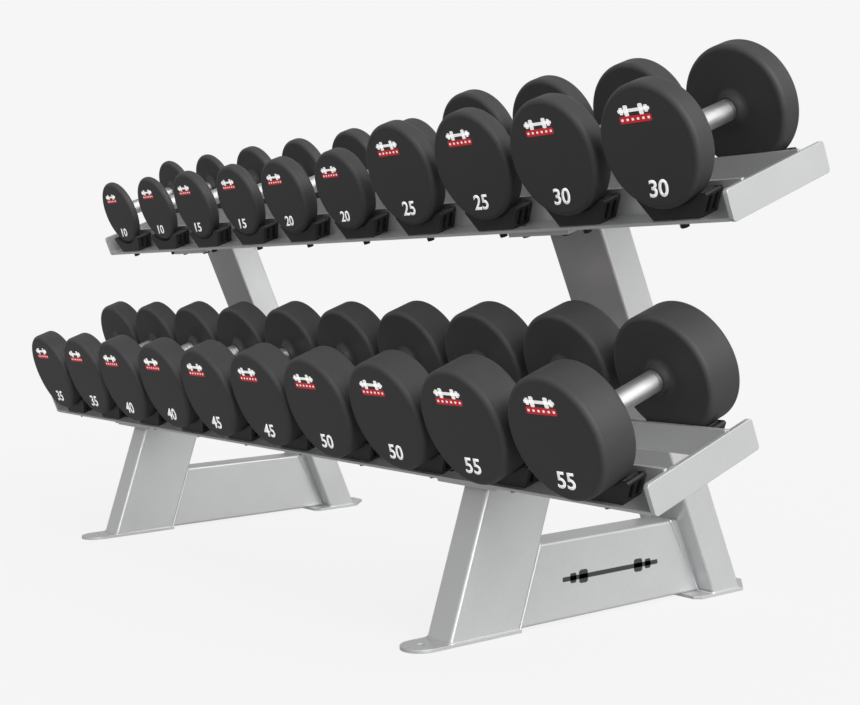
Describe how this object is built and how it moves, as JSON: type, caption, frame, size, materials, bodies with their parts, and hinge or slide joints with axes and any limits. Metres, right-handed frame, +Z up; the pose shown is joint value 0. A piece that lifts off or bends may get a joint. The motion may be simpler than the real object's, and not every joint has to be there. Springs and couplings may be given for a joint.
{
  "type": "dumbbell rack",
  "caption": "Two-tier dumbbell rack on leaning steel end frames, with moulded saddles holding round-headed rubber dumbbells that lift out.",
  "frame": {"origin": "on the floor, under the middle of the bounding box", "axes": "+X along the rack to its right end seen from the front, +Y to the rear, +Z up"},
  "size_m": [2.2, 0.7572, 0.943],
  "materials": {
    "frame_paint": "fine textured silver powder coat",
    "saddle_plastic": "moulded, fine texture",
    "urethane": "smooth satin urethane",
    "bar_steel": "knurled hard chrome",
    "black_steel": "black oxide"
  },
  "bodies": {
    "rack": {"left_front_leg": "frame_paint", "right_front_leg": "frame_paint", "left_rear_post": "frame_paint", "right_rear_post": "frame_paint", "left_cross_beam": "frame_paint", "right_cross_beam": "frame_paint", "left_foot_plates": "frame_paint", "right_foot_plates": "frame_paint", "lower_mount_plates": "frame_paint", "upper_mount_plates": "frame_paint", "lower_front_rail": "frame_paint", "lower_rear_rail": "frame_paint", "upper_front_rail": "frame_paint", "upper_rear_rail": "frame_paint", "lower_end_plates": "frame_paint", "upper_end_plates": "frame_paint", "lower_saddles": "saddle_plastic", "upper_saddles": "saddle_plastic", "saddle_bolts": "black_steel", "rail_bolts": "black_steel"},
    "lower_01_dumbbell": {"lower_01_heads": "urethane", "lower_01_bar": "bar_steel"},
    "lower_02_dumbbell": {"lower_02_heads": "urethane", "lower_02_bar": "bar_steel"},
    "lower_03_dumbbell": {"lower_03_heads": "urethane", "lower_03_bar": "bar_steel"},
    "lower_04_dumbbell": {"lower_04_heads": "urethane", "lower_04_bar": "bar_steel"},
    "lower_05_dumbbell": {"lower_05_heads": "urethane", "lower_05_bar": "bar_steel"},
    "lower_06_dumbbell": {"lower_06_heads": "urethane", "lower_06_bar": "bar_steel"},
    "lower_07_dumbbell": {"lower_07_heads": "urethane", "lower_07_bar": "bar_steel"},
    "lower_08_dumbbell": {"lower_08_heads": "urethane", "lower_08_bar": "bar_steel"},
    "lower_09_dumbbell": {"lower_09_heads": "urethane", "lower_09_bar": "bar_steel"},
    "lower_10_dumbbell": {"lower_10_heads": "urethane", "lower_10_bar": "bar_steel"},
    "upper_01_dumbbell": {"upper_01_heads": "urethane", "upper_01_bar": "bar_steel"},
    "upper_02_dumbbell": {"upper_02_heads": "urethane", "upper_02_bar": "bar_steel"},
    "upper_03_dumbbell": {"upper_03_heads": "urethane", "upper_03_bar": "bar_steel"},
    "upper_04_dumbbell": {"upper_04_heads": "urethane", "upper_04_bar": "bar_steel"},
    "upper_05_dumbbell": {"upper_05_heads": "urethane", "upper_05_bar": "bar_steel"},
    "upper_06_dumbbell": {"upper_06_heads": "urethane", "upper_06_bar": "bar_steel"},
    "upper_07_dumbbell": {"upper_07_heads": "urethane", "upper_07_bar": "bar_steel"},
    "upper_08_dumbbell": {"upper_08_heads": "urethane", "upper_08_bar": "bar_steel"},
    "upper_09_dumbbell": {"upper_09_heads": "urethane", "upper_09_bar": "bar_steel"},
    "upper_10_dumbbell": {"upper_10_heads": "urethane", "upper_10_bar": "bar_steel"}
  },
  "joints": [
    {"name": "lower_01_lift", "type": "slide", "parent": "rack", "child": "lower_01_dumbbell", "axis": [0, -0.3338, 0.9426], "range_m": [0, 0.3]},
    {"name": "lower_02_lift", "type": "slide", "parent": "rack", "child": "lower_02_dumbbell", "axis": [0, -0.3338, 0.9426], "range_m": [0, 0.3]},
    {"name": "lower_03_lift", "type": "slide", "parent": "rack", "child": "lower_03_dumbbell", "axis": [0, -0.3338, 0.9426], "range_m": [0, 0.3]},
    {"name": "lower_04_lift", "type": "slide", "parent": "rack", "child": "lower_04_dumbbell", "axis": [0, -0.3338, 0.9426], "range_m": [0, 0.3]},
    {"name": "lower_05_lift", "type": "slide", "parent": "rack", "child": "lower_05_dumbbell", "axis": [0, -0.3338, 0.9426], "range_m": [0, 0.3]},
    {"name": "lower_06_lift", "type": "slide", "parent": "rack", "child": "lower_06_dumbbell", "axis": [0, -0.3338, 0.9426], "range_m": [0, 0.3]},
    {"name": "lower_07_lift", "type": "slide", "parent": "rack", "child": "lower_07_dumbbell", "axis": [0, -0.3338, 0.9426], "range_m": [0, 0.3]},
    {"name": "lower_08_lift", "type": "slide", "parent": "rack", "child": "lower_08_dumbbell", "axis": [0, -0.3338, 0.9426], "range_m": [0, 0.3]},
    {"name": "lower_09_lift", "type": "slide", "parent": "rack", "child": "lower_09_dumbbell", "axis": [0, -0.3338, 0.9426], "range_m": [0, 0.3]},
    {"name": "lower_10_lift", "type": "slide", "parent": "rack", "child": "lower_10_dumbbell", "axis": [0, -0.3338, 0.9426], "range_m": [0, 0.3]},
    {"name": "upper_01_lift", "type": "slide", "parent": "rack", "child": "upper_01_dumbbell", "axis": [0, -0.3338, 0.9426], "range_m": [0, 0.3]},
    {"name": "upper_02_lift", "type": "slide", "parent": "rack", "child": "upper_02_dumbbell", "axis": [0, -0.3338, 0.9426], "range_m": [0, 0.3]},
    {"name": "upper_03_lift", "type": "slide", "parent": "rack", "child": "upper_03_dumbbell", "axis": [0, -0.3338, 0.9426], "range_m": [0, 0.3]},
    {"name": "upper_04_lift", "type": "slide", "parent": "rack", "child": "upper_04_dumbbell", "axis": [0, -0.3338, 0.9426], "range_m": [0, 0.3]},
    {"name": "upper_05_lift", "type": "slide", "parent": "rack", "child": "upper_05_dumbbell", "axis": [0, -0.3338, 0.9426], "range_m": [0, 0.3]},
    {"name": "upper_06_lift", "type": "slide", "parent": "rack", "child": "upper_06_dumbbell", "axis": [0, -0.3338, 0.9426], "range_m": [0, 0.3]},
    {"name": "upper_07_lift", "type": "slide", "parent": "rack", "child": "upper_07_dumbbell", "axis": [0, -0.3338, 0.9426], "range_m": [0, 0.3]},
    {"name": "upper_08_lift", "type": "slide", "parent": "rack", "child": "upper_08_dumbbell", "axis": [0, -0.3338, 0.9426], "range_m": [0, 0.3]},
    {"name": "upper_09_lift", "type": "slide", "parent": "rack", "child": "upper_09_dumbbell", "axis": [0, -0.3338, 0.9426], "range_m": [0, 0.3]},
    {"name": "upper_10_lift", "type": "slide", "parent": "rack", "child": "upper_10_dumbbell", "axis": [0, -0.3338, 0.9426], "range_m": [0, 0.3]}
  ]
}
